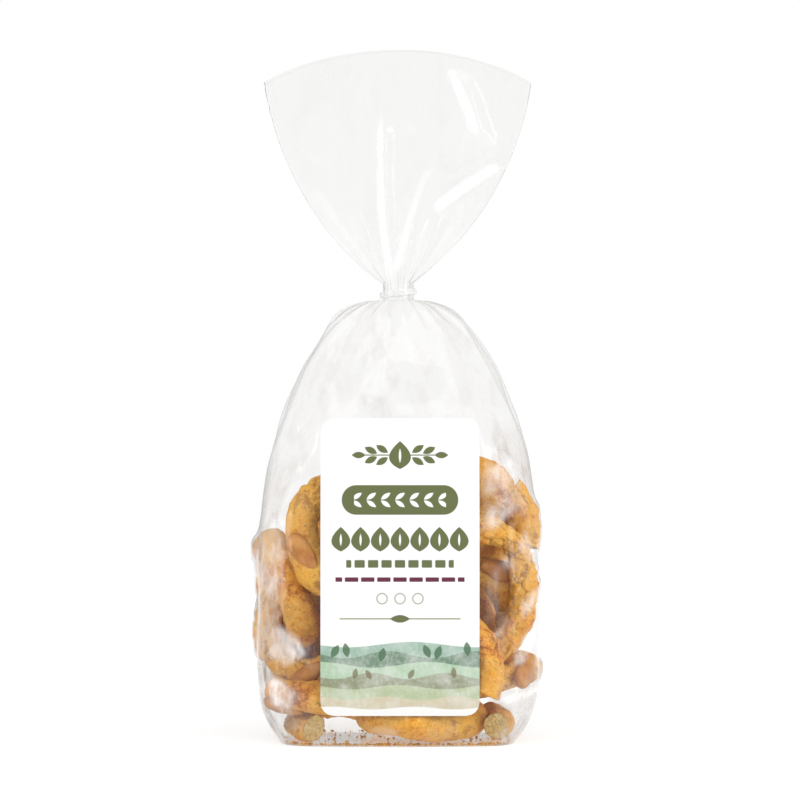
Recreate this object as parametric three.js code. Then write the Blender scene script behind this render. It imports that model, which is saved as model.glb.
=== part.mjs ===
// A clear, block-bottomed film bag of almond taralloni, standing upright: a square foot, a body that
// bulges where the ring-shaped biscuits press against the film, shoulders gathered into a tied neck,
// and above the tie the empty end of the bag fanned out flat. A paper label is stuck on the front.
//
// Millimetres, +Z up, the front faces -Y, and the origin is the middle of the foot, on the shelf.
import * as THREE from "three";

// The filled body
const footWidth = 106;
const footDepth = 62;
const bodyWidth = 128.5;
const bodyDepth = 75;
const footHeight = 35; // the foot rounds out to the full body over this height
const footRoundness = 2.6;
const neckHeight = 201.5; // where the shoulders end
const neckWidth = 13.6; // the neck is round
const neckLength = 5.5; // room for the tie

// The empty end above the tie
const fanRadius = 111.5; // from the neck to the middle of the rim
const fanCornerRadius = 114; // and to its corners
const fanStart = 8; // its first row, measured the same way
const fanHalfAngleAtNeck = THREE.MathUtils.degToRad(58);
const fanHalfAngleAtRim = THREE.MathUtils.degToRad(32.5);
const fanFolds = 1.5; // waves across the fan
const fanWave = 2; // their height at the rim
const fanWavePhase = 0.6;
const fanFlattening = 22; // how far from the neck its films close on each other
const filmGap = 1.1; // half of the room between the front and back films at the rim

// Gathers that run into the neck
const gathers = 9;
const gatherDepth = 0.1; // share of the section
const gatherReach = 42; // how far from the neck they fade out

// The film folds inward down the middle of each side, where the bag was creased before it was filled
const tuckDepth = 5;
const tuckWidth = 7;
const tuckFoot = 122;

// Crumples above the biscuits. Each set of creases runs across the shoulders in its own direction.
const crumpleHeight = 1.1;
const crumpleFoot = 118;
const creases = [
  { perTurn: 3, perMillimetre: 0.021, phase: 0.2 },
  { perTurn: -2, perMillimetre: 0.034, phase: 0.55 },
  { perTurn: 5, perMillimetre: -0.012, phase: 0.8 },
];

// Label
const labelWidth = 71;
const labelHeight = 133;
const labelFoot = 14.5; // its lower edge above the shelf
const labelShift = 0.9; // it is stuck on this far to the right
const labelCorner = 6;
const labelThickness = 0.4;
const labelHold = 7; // the film lies smooth this far round the label
const clearance = 0.3; // between pieces that touch

// Tie
const tieHeight = 2.8;
const tieThickness = 0.7;
const tieChamfer = 0.3;
const tieTilt = THREE.MathUtils.degToRad(7);
const tieCentre = neckHeight + neckLength / 2 + 0.2;

// The biscuits that press on the film: rings of rope, given by their middle, the way they face, and the
// radius of the ring and of the rope
const taralloni = [
  { at: [10, -5, 10], faces: [0, 0, 1], ring: 22.5, rope: 8 },
  { at: [-38, -8, 54], faces: [-0.35, -0.9, 0.15], ring: 22, rope: 7 },
  { at: [34, -23, 68], faces: [0.2, -1, -0.2], ring: 27, rope: 6.3 },
  { at: [34.5, 9, 27.5], faces: [0, 0, 1], ring: 20, rope: 7.6 },
  { at: [34, -4, 59], faces: [0.1, -1, 0], ring: 21.5, rope: 6.8 },
  { at: [-24, 30, 45], faces: [0, 1, 0], ring: 23.5, rope: 8 },
  { at: [28, 23, 65.5], faces: [-0.25, 1, 0], ring: 21.5, rope: 7.2 },
  { at: [-20.5, -23, 94], faces: [0, -1, 0.15], ring: 23.5, rope: 7.8 },
  { at: [32.5, 6, 106], faces: [-0.05, -0.55, 0.8], ring: 22, rope: 9.2 },
  { at: [-52, 1, 69], faces: [-0.95, -0.15, -0.3], ring: 20, rope: 7 },
  { at: [-25.5, 19, 104.5], faces: [0, 0.8, 0.55], ring: 23, rope: 7.8 },
];
const filmSlack = 0.6; // the film stands this far off the biscuits
const deepestBulge = 2.6;
const bulgeSoftness = 0.8;

// Mesh fineness
const around = 72;
const bodyRows = 46;
const rowCrowding = 0.62; // how much closer the rows are at the foot and the neck
const neckRows = 3;
const fanRows = 15;
const labelColumns = 14;
const labelRows = 16;
const tieSides = 36;

const fanMiddle = neckHeight + 3; // the point the fan spreads from

// Half of the bag's width or depth at height z: rounded out from the foot, level, then domed to the neck.
function halfSize(z, { foot, body, neck, shoulder, dome, roundness }) {
  if (z < footHeight) return body - (body - foot) * (1 - z / footHeight) ** footRoundness;
  if (z < shoulder) return body;
  const share = Math.min((z - shoulder) / (neckHeight - shoulder), 1);
  return neck + (body - neck) * (1 - share ** dome) ** (1 / roundness);
}

const widthProfile = {
  foot: footWidth / 2,
  body: bodyWidth / 2,
  neck: neckWidth / 2,
  shoulder: 72,
  dome: 2.05,
  roundness: 2.2,
};
const depthProfile = {
  foot: footDepth / 2,
  body: bodyDepth / 2,
  neck: neckWidth / 2,
  shoulder: 85,
  dome: 2.2,
  roundness: 1.8,
};

// How square the section is: boxy at the foot, an oval at the neck.
function squareness(z) {
  const [boxy, oval] = [4.6, 2];
  return THREE.MathUtils.lerp(boxy, oval, THREE.MathUtils.smoothstep(z, 60, neckHeight));
}

// One level of the bag: a rounded rectangle about the axis.
class Section extends THREE.Curve {
  constructor(halfWidth, halfDepth, corner) {
    super();
    Object.assign(this, { halfWidth, halfDepth, corner });
  }

  getPoint(share, target = new THREE.Vector3()) {
    const angle = 2 * Math.PI * share;
    const ease = (value) => Math.sign(value) * Math.abs(value) ** (2 / this.corner);
    return target.set(
      this.halfWidth * ease(Math.cos(angle)),
      this.halfDepth * ease(Math.sin(angle)),
      0,
    );
  }

  // The horizontal direction that faces away from the section at a point on it.
  outward({ x, y }) {
    const slope = (value, half) =>
      (Math.sign(value) * Math.abs(value / half) ** (this.corner - 1)) / half;
    return new THREE.Vector3(slope(x, this.halfWidth), slope(y, this.halfDepth), 0).normalize();
  }

  // Evenly spaced points, without the last, which repeats the first.
  row() {
    return this.getSpacedPoints(around).slice(0, around);
  }
}

function sectionAt(z) {
  return new Section(halfSize(z, widthProfile), halfSize(z, depthProfile), squareness(z));
}

// How far a point lies inside the rope of the nearest biscuit, smoothed to nothing outside it.
function bulgeAt(point) {
  const depths = taralloni.map(({ at, faces, ring, rope }) => {
    const axis = new THREE.Vector3(...faces).normalize();
    const offset = point.clone().sub(new THREE.Vector3(...at));
    const height = offset.dot(axis);
    const radius = offset.addScaledVector(axis, -height).length();
    return rope + filmSlack - Math.hypot(radius - ring, height);
  });
  const depth = Math.max(...depths) / bulgeSoftness;
  return Math.min(bulgeSoftness * Math.log1p(Math.exp(Math.min(depth, 20))), deepestBulge);
}

// 1 away from the label, 0 behind it, where the paper keeps the film smooth.
function clearOfLabel({ x, y, z }) {
  if (y > 0) return 1;
  const middle = labelFoot + labelHeight / 2;
  const beside = Math.abs(x - labelShift) - labelWidth / 2;
  const above = Math.abs(z - middle) - labelHeight / 2;
  return THREE.MathUtils.smoothstep(Math.max(beside, above), 0, labelHold);
}

// Narrow folds that run into the neck and fade with distance from it.
function gather(index, distance) {
  const fade = Math.max(0, 1 - distance / gatherReach) ** 2;
  return 1 + gatherDepth * fade * Math.cos((2 * Math.PI * gathers * index) / around);
}

// The share of a shape that shows at height z: nothing at its foot, all of it a way up, none at the neck.
function shownAt(z, foot) {
  const { smoothstep } = THREE.MathUtils;
  return smoothstep(z, foot, foot + 45) * (1 - smoothstep(z, neckHeight - 25, neckHeight - 4));
}

// How far the film is folded in at a point of one of its sides.
function tuckAt({ y, z }) {
  return tuckDepth * shownAt(z, tuckFoot) * Math.exp(-((y / tuckWidth) ** 2));
}

// Flat facets between straight creases, because the sum of folded planes is made of planes again.
function crumpleAt(index, z) {
  const folded = creases.map(({ perTurn, perMillimetre, phase }) => {
    const place = (perTurn * index) / around + perMillimetre * z + phase;
    return 2 * Math.abs(place - Math.round(place)) - 0.5;
  });
  const sum = folded.reduce((total, height) => total + height, 0);
  return crumpleHeight * shownAt(z, crumpleFoot) * sum;
}

function bodyRow(z) {
  const section = sectionAt(z);
  return section.row().map((point, index) => {
    const away = section.outward(point);
    point.z = z;
    const bulge = z > 0 ? bulgeAt(point) : 0;
    const relief = (bulge + crumpleAt(index, z)) * clearOfLabel(point);
    point.addScaledVector(away, relief);
    point.x -= Math.sign(point.x) * tuckAt(point) * Math.abs(away.x);
    const fold = gather(index, neckHeight - z);
    point.x *= fold;
    point.y *= fold;
    return point;
  });
}

// A row of the fan, on a circle about the neck: a thin lens, bent into waves.
function fanRow(radius) {
  const share = radius / fanRadius;
  const halfAngle = THREE.MathUtils.lerp(fanHalfAngleAtNeck, fanHalfAngleAtRim, share);
  const halfWidth = radius * Math.sin(halfAngle);
  const cornerReach = (fanCornerRadius / fanRadius - 1) * share;
  const open = Math.exp(-(radius - fanStart) / fanFlattening);
  const halfDepth = THREE.MathUtils.lerp(filmGap, neckWidth / 2, open);
  const wave = fanWave * THREE.MathUtils.smoothstep(share, 0.05, 0.8);
  return new Section(halfWidth, halfDepth, 2).row().map((point, index) => {
    const across = point.x / halfWidth;
    const angle = across * halfAngle;
    const fold = gather(index, radius);
    const reach = radius * (1 + cornerReach * across ** 2);
    return new THREE.Vector3(
      reach * Math.sin(angle) * fold,
      point.y * fold + wave * Math.cos(Math.PI * fanFolds * across + fanWavePhase),
      fanMiddle + reach * Math.cos(angle),
    );
  });
}

// Joins rows of points into one closed skin. Each end is closed across, from front to back.
function loft(rows) {
  const count = rows[0].length;
  const positions = rows.flat().flatMap((point) => point.toArray());
  const faces = [];
  rows.slice(1).forEach((_, level) => {
    for (let i = 0; i < count; i++) {
      const next = (i + 1) % count;
      const [a, b] = [level * count + i, level * count + next];
      const [c, d] = [a + count, b + count];
      faces.push(a, b, d, a, d, c);
    }
  });
  const closeAcross = (first, upward) => {
    for (let i = 0; i < count / 2; i++) {
      const [a, b] = [first + i, first + i + 1];
      const [c, d] = [first + ((count - i) % count), first + count - i - 1];
      const triangles = [
        [a, b, c],
        [b, d, c],
      ].filter((corners) => new Set(corners).size === 3);
      triangles.forEach((corners) => faces.push(...(upward ? corners : corners.reverse())));
    }
  };
  closeAcross(0, false);
  closeAcross((rows.length - 1) * count, true);
  const geometry = new THREE.BufferGeometry();
  geometry.setAttribute("position", new THREE.Float32BufferAttribute(positions, 3));
  geometry.setIndex(faces);
  geometry.computeVertexNormals();
  return geometry;
}

// Evenly stepped shares from 0 to 1.
function steps(count) {
  return Array.from({ length: count + 1 }, (_, i) => i / count);
}

function bagGeometry() {
  const turn = 2 * Math.PI;
  const crowded = (share) => share - (rowCrowding * Math.sin(turn * share)) / turn;
  const body = steps(bodyRows).map((share) => bodyRow(neckHeight * crowded(share)));
  const neck = steps(neckRows - 1)
    .slice(1)
    .map((share) => bodyRow(neckHeight).map((point) => point.setZ(neckHeight + neckLength * share)));
  const fan = steps(fanRows).map((share) =>
    fanRow(THREE.MathUtils.lerp(fanStart, fanRadius, share ** 1.25)),
  );
  return loft([...body, ...neck, ...fan]);
}

// The bag's front at a point of the label, where no biscuit bulges the film.
function frontAt(x, z) {
  const { halfWidth, halfDepth, corner } = sectionAt(z);
  return -halfDepth * (1 - Math.abs(x / halfWidth) ** corner) ** (1 / corner);
}

// A rectangle with round corners, laid on the bag's front and given the thickness of paper.
function labelGeometry() {
  const corner = [0, 0.12, 0.35, 0.65].map((share) => share * labelCorner);
  const heights = [
    ...corner,
    ...steps(labelRows).map((share) =>
      THREE.MathUtils.lerp(labelCorner, labelHeight - labelCorner, share),
    ),
    ...corner.map((height) => labelHeight - height).reverse(),
  ];
  // The rows run from the label's foot to its top. Each goes across its outer side and back inside.
  const rows = heights.map((height) => {
    const inset = Math.max(labelCorner - Math.min(height, labelHeight - height), 0);
    const halfWidth = labelWidth / 2 - labelCorner + Math.sqrt(labelCorner ** 2 - inset ** 2);
    const z = labelFoot + height;
    const side = (offset) =>
      steps(labelColumns).map((share) => {
        const x = labelShift + halfWidth * (2 * share - 1);
        return new THREE.Vector3(x, frontAt(x, z) - offset, z);
      });
    return [...side(clearance + labelThickness), ...side(clearance).reverse()];
  });
  return strip(rows);
}

// A closed skin over rows that already run all the way round.
function strip(rows) {
  const count = rows[0].length;
  const faces = [];
  rows.slice(1).forEach((_, level) => {
    for (let i = 0; i < count; i++) {
      const next = (i + 1) % count;
      const [a, b] = [level * count + i, level * count + next];
      faces.push(a, b, b + count, a, b + count, a + count);
    }
  });
  const last = (rows.length - 1) * count;
  for (let i = 0; i < count / 2 - 1; i++) {
    const [a, b, c, d] = [i, i + 1, count - 1 - i, count - 2 - i];
    faces.push(a, c, b, b, c, d);
    faces.push(last + a, last + b, last + c, last + b, last + d, last + c);
  }
  const geometry = new THREE.BufferGeometry();
  const positions = rows.flat().flatMap((point) => point.toArray());
  geometry.setAttribute("position", new THREE.Float32BufferAttribute(positions, 3));
  geometry.setIndex(faces);
  geometry.computeVertexNormals();
  return geometry;
}

// A narrow strap round the neck.
function tieGeometry() {
  const inner = ((neckWidth / 2) * (1 + gatherDepth) + clearance) / Math.cos(tieTilt);
  const outer = inner + tieThickness;
  const half = tieHeight / 2;
  const profile = [
    [inner, -half],
    [outer - tieChamfer, -half],
    [outer, -half + tieChamfer],
    [outer, half - tieChamfer],
    [outer - tieChamfer, half],
    [inner, half],
    [inner, -half],
  ].map(([radius, height]) => new THREE.Vector2(radius, height));
  return new THREE.LatheGeometry(profile, tieSides).rotateX(Math.PI / 2);
}

const film = new THREE.MeshStandardMaterial({ color: "#eceeec", roughness: 0.12, metalness: 0 });
const paper = new THREE.MeshStandardMaterial({ color: "#fafaf8", roughness: 0.45, metalness: 0 });
const strap = new THREE.MeshStandardMaterial({ color: "#f2f3f2", roughness: 0.25, metalness: 0 });

function named(name, geometry, material) {
  const mesh = new THREE.Mesh(geometry, material);
  mesh.name = name;
  return mesh;
}

const part = new THREE.Group();

const bag = named("bag", bagGeometry(), film);
const label = named("label", labelGeometry(), paper);
const tie = named("tie", tieGeometry(), strap);
tie.position.z = tieCentre;
tie.rotation.y = -tieTilt;
part.add(bag, label, tie);

export default part;
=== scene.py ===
import math

import bpy
import numpy as np
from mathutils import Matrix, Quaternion, Vector
from mathutils.bvhtree import BVHTree
from mathutils.geometry import delaunay_2d_cdt


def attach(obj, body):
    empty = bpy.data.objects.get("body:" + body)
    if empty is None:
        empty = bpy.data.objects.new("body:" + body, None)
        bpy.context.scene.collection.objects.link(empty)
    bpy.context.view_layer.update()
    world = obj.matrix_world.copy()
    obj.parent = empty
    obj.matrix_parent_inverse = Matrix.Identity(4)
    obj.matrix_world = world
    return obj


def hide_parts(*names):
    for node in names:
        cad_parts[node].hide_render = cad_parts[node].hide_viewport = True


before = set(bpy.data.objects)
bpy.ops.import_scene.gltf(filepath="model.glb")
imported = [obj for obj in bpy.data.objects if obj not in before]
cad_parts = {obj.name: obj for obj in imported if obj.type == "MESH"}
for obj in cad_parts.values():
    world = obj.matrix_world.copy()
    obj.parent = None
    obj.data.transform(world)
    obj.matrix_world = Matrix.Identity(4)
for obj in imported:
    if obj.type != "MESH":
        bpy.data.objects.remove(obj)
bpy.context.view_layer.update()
mm = 0.001
print("frame loaded")


# Shader building: a Wire is one socket, and arithmetic on it adds Math nodes
class Wire:
    def __init__(self, tree, socket):
        self.tree = tree
        self.socket = socket

    def maths(self, operation, *values):
        return self.tree.add("ShaderNodeMath", {"operation": operation}, dict(enumerate(values)))

    def __add__(self, other):
        return self.maths("ADD", self, other)

    def __sub__(self, other):
        return self.maths("SUBTRACT", self, other)

    def __rsub__(self, other):
        return self.maths("SUBTRACT", other, self)

    def __mul__(self, other):
        return self.maths("MULTIPLY", self, other)

    def __truediv__(self, other):
        return self.maths("DIVIDE", self, other)

    def __pow__(self, other):
        return self.maths("POWER", self, other)

    def __abs__(self):
        return self.maths("ABSOLUTE", self)

    __radd__ = __add__
    __rmul__ = __mul__

    def most(self, other):
        return self.maths("MAXIMUM", self, other)

    # 0 below start, 1 above end, smooth between them
    def ramp(self, start, end, low=0, high=1):
        settings = {"interpolation_type": "SMOOTHSTEP"}
        sockets = {"Value": self, "From Min": start, "From Max": end, "To Min": low, "To Max": high}
        return self.tree.add("ShaderNodeMapRange", settings, sockets)


# The nodes of a new material or world
class Tree:
    def __init__(self, name, kind="materials"):
        self.owner = getattr(bpy.data, kind).new(name)
        self.owner.use_nodes = True
        self.nodes = self.owner.node_tree.nodes
        self.nodes.clear()

    # every node comes from here: its type, its settings, then the values or links of its sockets
    def add(self, kind, settings=None, sockets=None, output=0):
        node = self.nodes.new(kind)
        for key, value in (settings or {}).items():
            if key == "stops":
                for position, shade in value[:-2]:
                    node.color_ramp.elements.new(position)
                for element, (position, shade) in zip(node.color_ramp.elements, value):
                    element.position, element.color = position, shade
            else:
                setattr(node, key, value)
        for key, value in (sockets or {}).items():
            if isinstance(value, Wire):
                self.owner.node_tree.links.new(value.socket, node.inputs[key])
            else:
                node.inputs[key].default_value = value
        return Wire(self, node.outputs[output]) if node.outputs else node

    def place(self):
        return self.add("ShaderNodeTexCoord", output="Object")

    def attribute(self, name):
        return self.add("ShaderNodeAttribute", {"attribute_name": name}, output="Fac")

    # even noise about 0.5; size is the width of its lumps in millimetres
    def noise(self, size, detail=3, stretch=(1, 1, 1), seed=0):
        sockets = {"Vector": self.place(), "Location": (seed, 2 * seed, -seed), "Scale": stretch}
        where = self.add("ShaderNodeMapping", sockets=sockets)
        sockets = {"Vector": where, "Scale": 1 / (size * mm), "Detail": detail, "Roughness": 0.55}
        return self.add("ShaderNodeTexNoise", sockets=sockets)

    # a colour between two others
    def blend(self, share, low, high):
        return self.add("ShaderNodeMix", {"data_type": "RGBA"}, {0: share, 6: low, 7: high}, 2)

    def bump(self, height, strength, distance):
        sockets = {"Height": height, "Strength": strength, "Distance": distance * mm}
        return self.add("ShaderNodeBump", sockets=sockets)

    def principled(self, sockets):
        return self.add("ShaderNodeBsdfPrincipled", sockets=sockets)

    def finish(self, surface):
        self.add("ShaderNodeOutputMaterial", sockets={"Surface": surface})
        return self.owner

    def painted(self, sockets):
        return self.finish(self.principled(sockets))


# sRGB bytes to the linear colour that a socket takes
def colour(red, green, blue):
    shares = (red / 255, green / 255, blue / 255)
    return (*[((share + 0.055) / 1.055) ** 2.4 for share in shares], 1)


# 0 at low, 1 at high, smooth between them
def smooth(low, high, value):
    share = np.clip((value - low) / (high - low), 0, 1)
    return share * share * (3 - 2 * share)


# Random heights on a lattice, blended smoothly: -1 to 1, with lumps as wide as size
def lumps(points, size, seed):
    table = np.random.default_rng(seed).uniform(-1, 1, (32, 32, 32))
    place = points / size + seed * 0.37
    cell = np.floor(place).astype(int)
    share = place - cell
    share = share * share * (3 - 2 * share)
    total = 0
    for corner in np.ndindex(2, 2, 2):
        weight = np.prod(np.where(corner, share, 1 - share), axis=1)
        index = (cell + corner) % 32
        total = total + weight * table[index[:, 0], index[:, 1], index[:, 2]]
    return total


# The bag's shape, the same curves as the CAD part's. A pair is for across and for front to back, halves are
# half widths, and boxy is the power of the rounded square that a level section is
bag = {
    "footHalf": (53, 31),
    "bodyHalf": (64.25, 37.5),
    "footHeight": 35,
    "footRoundness": 2.6,
    "neckHeight": 201.5,
    "neckLength": 5.5,
    "neckHalf": 6.8,
    "shoulder": (72, 85),
    "dome": (2.05, 2.2),
    "roundness": (2.2, 1.8),
    "boxy": 4.6,
}


def bagHalf(z, axis):
    foot, body, neck = bag["footHalf"][axis], bag["bodyHalf"][axis], bag["neckHalf"]
    shoulder = bag["shoulder"][axis]
    low = body - (body - foot) * np.clip(1 - z / bag["footHeight"], 0, 1) ** bag["footRoundness"]
    share = np.clip((z - shoulder) / (bag["neckHeight"] - shoulder), 0, 1)
    high = neck + (body - neck) * (1 - share ** bag["dome"][axis]) ** (1 / bag["roundness"][axis])
    return np.where(z < shoulder, low, high)


def squareness(z):
    return bag["boxy"] - (bag["boxy"] - 2) * smooth(60, bag["neckHeight"], z)


# How far points lie inside the bag, and the level direction out of it
def wallAt(points):
    x, y, z = points.T
    halfX, halfY, corner = bagHalf(z, 0), bagHalf(z, 1), squareness(z)
    acrossX, acrossY = np.abs(x) / halfX, np.abs(y) / halfY
    reach = (acrossX**corner + acrossY**corner) ** (1 / corner) + 1e-9
    slopeX = np.sign(x) * (acrossX / reach) ** (corner - 1) / halfX
    slopeY = np.sign(y) * (acrossY / reach) ** (corner - 1) / halfY
    steepness = np.hypot(slopeX, slopeY) + 1e-9
    outward = np.stack([slopeX / steepness, slopeY / steepness, 0 * x], 1)
    return (1 - reach) / steepness, outward


# The label's place on the front, and how far round it the film is held flat
label = {"middle": (0.9, 81), "half": (35.5, 66.5), "hold": 7}


# 1 away from the label, 0 behind it
def clearOfLabel(points):
    x, y, z = points.T
    beside = np.abs(x - label["middle"][0]) - label["half"][0]
    above = np.abs(z - label["middle"][1]) - label["half"][1]
    return np.where(y > 0, 1, smooth(0, label["hold"], np.maximum(beside, above)))


# Each biscuit: its middle and the way it faces, before it settles, and the radius of its ring and its rope.
# A broken one also has the degrees of ring that are left and where they start. Almonds are (degrees along
# what is left of the ring, degrees round the rope). Firm ones hardly move as the heap settles. Rough is how
# cracked the crust is, bake how much darker it is than most, and slant how far off square the ends broke.
taralloni = {
    "ringFoot": dict(
        at=(8.3, -4, 9.2), faces=(0, 0, 1), ring=22.5, rope=8, firm=True, almonds=[(250, 60), (80, 80)]
    ),
    "strandLeft": dict(at=(-42.5, 0, 8), faces=(0, 0, 1), ring=70, rope=6.3, arc=38, turn=161, firm=True),
    "strandRight": dict(at=(45, 0, 8), faces=(0, 0, 1), ring=70, rope=6.0, arc=36, turn=-18, firm=True),
    "arcFootBack": dict(
        at=(-20, 20, 9), faces=(0, 0.2, 1), ring=22, rope=7.5, arc=120, turn=210, almonds=[(60, 90)]
    ),
    "arcFootLeft": dict(
        at=(-41, -20, 24), faces=(0, -0.15, 1), ring=28, rope=7, arc=75, turn=215, firm=True,
        almonds=[(20, -60)],
    ),
    "ringLeftFront": dict(
        at=(-39, -9, 53), faces=(-0.5, -1, 0.1), ring=22, rope=7, firm=True, bake=-0.1,
        almonds=[(100, 0), (250, 90)],
    ),
    "ringRightFront": dict(
        at=(31.5, -22, 69), faces=(0.2, -1, -0.22), ring=27, rope=6.3, firm=True, rough=1,
        almonds=[(110, 60)],
    ),
    "arcRightFront": dict(
        at=(34.3, -29.6, 42.7), faces=(0, -1, 0), ring=25, rope=6.8, arc=100, turn=-8, firm=True,
        bake=0.06, slant=0,
    ),
    "ringRightLow": dict(
        at=(35, 9.5, 33), faces=(-0.28, 0.05, 1), ring=20, rope=7.6, firm=True, bake=-0.1,
        almonds=[(318, 10), (200, 60)],
    ),
    "ringRightSecond": dict(
        at=(25, -5, 56), faces=(0.25, -1, 0.1), ring=21.5, rope=6.8, almonds=[(69, 55), (320, 60)]
    ),
    "ringLeftSecond": dict(
        at=(-22, 8, 38), faces=(0.3, -1, 0.5), ring=21, rope=7.2, bake=-0.1, almonds=[(170, 90), (20, 0)]
    ),
    "ringLeftBack": dict(
        at=(-26, 27, 47), faces=(-0.5, 1, 0.6), ring=23.5, rope=8, almonds=[(40, 80), (210, 30)]
    ),
    "ringRightBack": dict(
        at=(18, 27, 55), faces=(-0.2, 1, -0.3), ring=21.5, rope=7.2, almonds=[(130, 80), (280, 60)]
    ),
    "ringLeftTop": dict(
        at=(-18.5, -22, 93), faces=(-0.1, -1, 0.1), ring=23.5, rope=7.8, firm=True, rough=0.25, bake=-0.14,
        almonds=[(200, 80), (300, 60)],
    ),
    "ringRightTop": dict(
        at=(26, 7, 104), faces=(-0.05, -0.6, 0.79), ring=22, rope=8.8, firm=True,
        almonds=[(285, 40), (120, 60)],
    ),
    "ringSideTop": dict(at=(-51, 7, 82), faces=(-1, -0.2, 0.15), ring=19.5, rope=7),
    "ringBackTop": dict(
        at=(-7, 27, 87), faces=(0, 1, 0.1), ring=22, rope=7.8, almonds=[(70, 85), (190, 75)]
    ),
    "arcMiddle": dict(
        at=(41.5, 11, 69.5), faces=(0, -1, 0), ring=30, rope=7.4, arc=114, turn=121, firm=True
    ),
    "arcRightTop": dict(
        at=(52, -7, 101), faces=(0.3, -1, 0), ring=30, rope=6.4, arc=50, turn=6, firm=True, rough=1
    ),
}
# The rope of dough that all are made of: its mesh, how it wavers and swells, and how deep its marks are
rope = {
    "steps": 264,
    "sides": 88,
    "ringLength": 148,
    "waver": 1.35,
    "brokenWaver": 0.54,
    "swell": 0.1,
    "flat": 0.9,
    "rough": 0.6,
    "crackDepth": 0.75,
    "pitDepth": 0.45,
    "seamDepth": 1.3,
    "seamWide": 1.1,
    "seamSlant": 4.5,
    "breakReach": 6,
    "breakSlant": 0.45,
    "breakRings": 14,
}


def isWhole(spec):
    return "arc" not in spec


# The middle of the rope and its radius at shares of its length, in the ring's own frame
def ropeLine(spec, seed, shares):
    arc = math.radians(spec.get("arc", 360))
    angle = math.radians(spec.get("turn", 0)) + arc * shares
    phase = np.random.default_rng(seed).uniform(0, 2 * math.pi, 6)
    waver = rope["waver"] if isWhole(spec) else rope["brokenWaver"]
    radius = spec["ring"] + waver * (1.3 * np.cos(2 * angle + phase[0]) + np.cos(3 * angle + phase[1]))
    height = waver * 0.8 * np.sin(2 * angle + phase[2])
    middle = np.stack([radius * np.cos(angle), radius * np.sin(angle), height], 1)
    swell = np.cos(angle + phase[3])
    swell = swell + 0.6 * np.cos(3 * angle + phase[4]) + 0.4 * np.cos(5 * angle + phase[5])
    return middle, spec["rope"] * (1 + rope["swell"] * swell)


# Slides and tilts the biscuits, each kept rigid, until they hardly run into one another, the film or the
# floor. Gap is the room between two ropes, and bulge how far the film gives, but none behind the label
settling = {
    "rounds": 320,
    "samples": 32,
    "gap": 0.5,
    "bulge": 1.6,
    "labelRoom": 0.9,
    "floor": 0.9,
    "pace": 0.7,
    "sink": 0.03,
    "firm": 0.04,
}


def settle():
    count, each = len(taralloni), settling["samples"]
    local, radii, turns, places = [], [], [], []
    for seed, spec in enumerate(taralloni.values()):
        shares = np.arange(each) / (each if isWhole(spec) else each - 1)
        middle, radius = ropeLine(spec, seed, shares)
        turn = Vector((0, 0, 1)).rotation_difference(Vector(spec["faces"]).normalized())
        local.append(middle - middle.mean(0))
        radii.append(radius)
        turns.append(np.array(turn.to_matrix()))
        places.append(np.array(spec["at"], float))
    local, turns, places = np.array(local), np.array(turns), np.array(places)
    radius = np.concatenate(radii)
    owner = np.repeat(np.arange(count), each)
    apart = owner[:, None] != owner[None]
    loose = np.array([settling["firm"] if spec.get("firm") else 1 for spec in taralloni.values()])
    yielding = loose[owner][:, None] / (loose[owner][:, None] + loose[owner][None])
    need = (radius[:, None] + radius[None] + settling["gap"]) * apart
    for _ in range(settling["rounds"]):
        arms = np.einsum("kij,ksj->ksi", turns, local)
        points = (arms + places[:, None]).reshape(-1, 3)
        between = points[:, None] - points[None]
        distance = np.sqrt((between**2).sum(2)) + 1e-9
        deep = np.clip(need - distance, 0, None)
        touching = np.maximum((deep > 0).sum(1), 1)
        push = np.einsum("ij,ijk->ik", deep * yielding / distance, between) / touching[:, None]
        room, outward = wallAt(points)
        free = clearOfLabel(points)
        allowed = settling["bulge"] * free - settling["labelRoom"] * (1 - free)
        push -= outward * np.clip(radius - allowed - room, 0, None)[:, None]
        push[:, 2] += np.clip(radius + settling["floor"] - points[:, 2], 0, None)
        push = push.reshape(count, each, 3)
        pushed = np.maximum((np.abs(push).sum(2) > 0).sum(1), 1)[:, None]
        places += settling["pace"] * push.sum(1) / pushed
        places[:, 2] -= settling["sink"] * (loose == 1)
        inertia = (arms**2).sum(2).mean(1)[:, None]
        twists = settling["pace"] * np.cross(arms, push).sum(1) / pushed / inertia
        for k, twist in enumerate(twists):
            angle = float(np.linalg.norm(twist))
            if angle > 1e-9:
                turns[k] = np.array(Quaternion(Vector(twist / angle), angle).to_matrix()) @ turns[k]
    print("biscuits settled, deepest overlap", round(float(deep.max()) - settling["gap"], 2), "mm")
    return turns, places


# A grid of points as a mesh: rows along, columns round. Closed both ways for a ring
def gridFaces(rows, columns, rowsClose):
    row = np.arange(rows if rowsClose else rows - 1)[:, None]
    column = np.arange(columns)[None]
    below, beside = (row + 1) % rows, (column + 1) % columns
    here, under = row * columns, below * columns
    return np.stack([here + column, here + beside, under + beside, under + column], 2).reshape(-1, 4)


def makePiece(name, points, faces, materials, slots=None, attributes=None):
    mesh = bpy.data.meshes.new(name)
    mesh.from_pydata(np.asarray(points) * mm, [], [list(map(int, face)) for face in faces])
    for material in materials:
        mesh.materials.append(material)
    if slots is not None:
        mesh.polygons.foreach_set("material_index", np.asarray(slots, np.int32))
    for key, values in (attributes or {}).items():
        mesh.attributes.new(key, "FLOAT", "POINT").data.foreach_set("value", np.asarray(values, np.float32))
    mesh.shade_smooth()
    mesh.update()
    piece = bpy.data.objects.new(name, mesh)
    bpy.context.collection.objects.link(piece)
    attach(piece, "root")
    return piece


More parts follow.
